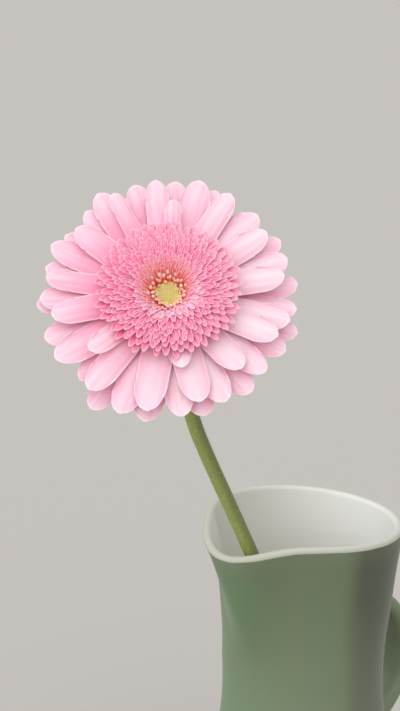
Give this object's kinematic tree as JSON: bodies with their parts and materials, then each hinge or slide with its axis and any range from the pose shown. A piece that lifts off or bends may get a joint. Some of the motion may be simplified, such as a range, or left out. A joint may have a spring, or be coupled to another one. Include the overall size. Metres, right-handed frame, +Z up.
{
  "type": "cut flower in a jug",
  "caption": "Cut gerbera with a semi-double pink head, leaning in the pulled spout of a waisted, sage-glazed earthenware milk jug with an ear handle.",
  "frame": {"origin": "centre of the jug's flat base, on the surface it stands on", "axes": "+Z up; the spout points to -X and the handle to +X; the flower leans out over the spout"},
  "size_m": [0.2024, 0.0873, 0.2947],
  "materials": {
    "sage_glaze": "smooth sage-green glaze outside, warm white glaze inside and on the rim, bare foot",
    "stem_green": "green, finely ribbed and hairy flower stalk",
    "bract_green": "matt, finely hairy green bracts",
    "ray_pink": "soft pale pink petals with fine lengthwise ridges",
    "trans_pink": "deeper pink short petals with paler edges",
    "disc_orange": "orange-red tubes with whitish tips",
    "bud_yellow": "yellow-green closed buds"
  },
  "bodies": {
    "root": {"jug": "sage_glaze", "stem": "stem_green", "receptacle": "bract_green", "bud_disc": "bud_yellow", "disc_florets": "disc_orange", "trans_florets_outer": "trans_pink", "trans_florets_middle": "trans_pink", "trans_florets_inner": "trans_pink", "trans_florets_centre": "trans_pink", "bracts_inner": "bract_green", "bracts_outer": "bract_green", "ray_floret_inner_01": "ray_pink", "ray_floret_inner_02": "ray_pink", "ray_floret_inner_03": "ray_pink", "ray_floret_inner_04": "ray_pink", "ray_floret_front_01": "ray_pink", "ray_floret_front_02": "ray_pink", "ray_floret_front_03": "ray_pink", "ray_floret_front_04": "ray_pink", "ray_floret_front_05": "ray_pink", "ray_floret_front_06": "ray_pink", "ray_floret_front_07": "ray_pink", "ray_floret_front_08": "ray_pink", "ray_floret_front_09": "ray_pink", "ray_floret_front_10": "ray_pink", "ray_floret_front_11": "ray_pink", "ray_floret_front_12": "ray_pink", "ray_floret_mid_01": "ray_pink", "ray_floret_mid_02": "ray_pink", "ray_floret_mid_03": "ray_pink", "ray_floret_mid_04": "ray_pink", "ray_floret_mid_05": "ray_pink", "ray_floret_mid_06": "ray_pink", "ray_floret_mid_07": "ray_pink", "ray_floret_mid_08": "ray_pink", "ray_floret_mid_09": "ray_pink", "ray_floret_mid_10": "ray_pink", "ray_floret_mid_11": "ray_pink", "ray_floret_mid_12": "ray_pink", "ray_floret_back_01": "ray_pink", "ray_floret_back_02": "ray_pink", "ray_floret_back_03": "ray_pink", "ray_floret_back_04": "ray_pink", "ray_floret_back_05": "ray_pink", "ray_floret_back_06": "ray_pink", "ray_floret_back_07": "ray_pink", "ray_floret_back_08": "ray_pink", "ray_floret_back_09": "ray_pink", "ray_floret_back_10": "ray_pink", "ray_floret_back_11": "ray_pink", "ray_floret_back_12": "ray_pink", "ray_floret_back_13": "ray_pink", "ray_floret_back_14": "ray_pink", "ray_floret_back_15": "ray_pink", "ray_floret_back_16": "ray_pink", "ray_floret_back_17": "ray_pink", "ray_floret_back_18": "ray_pink", "ray_floret_back_19": "ray_pink"}
  },
  "joints": []
}
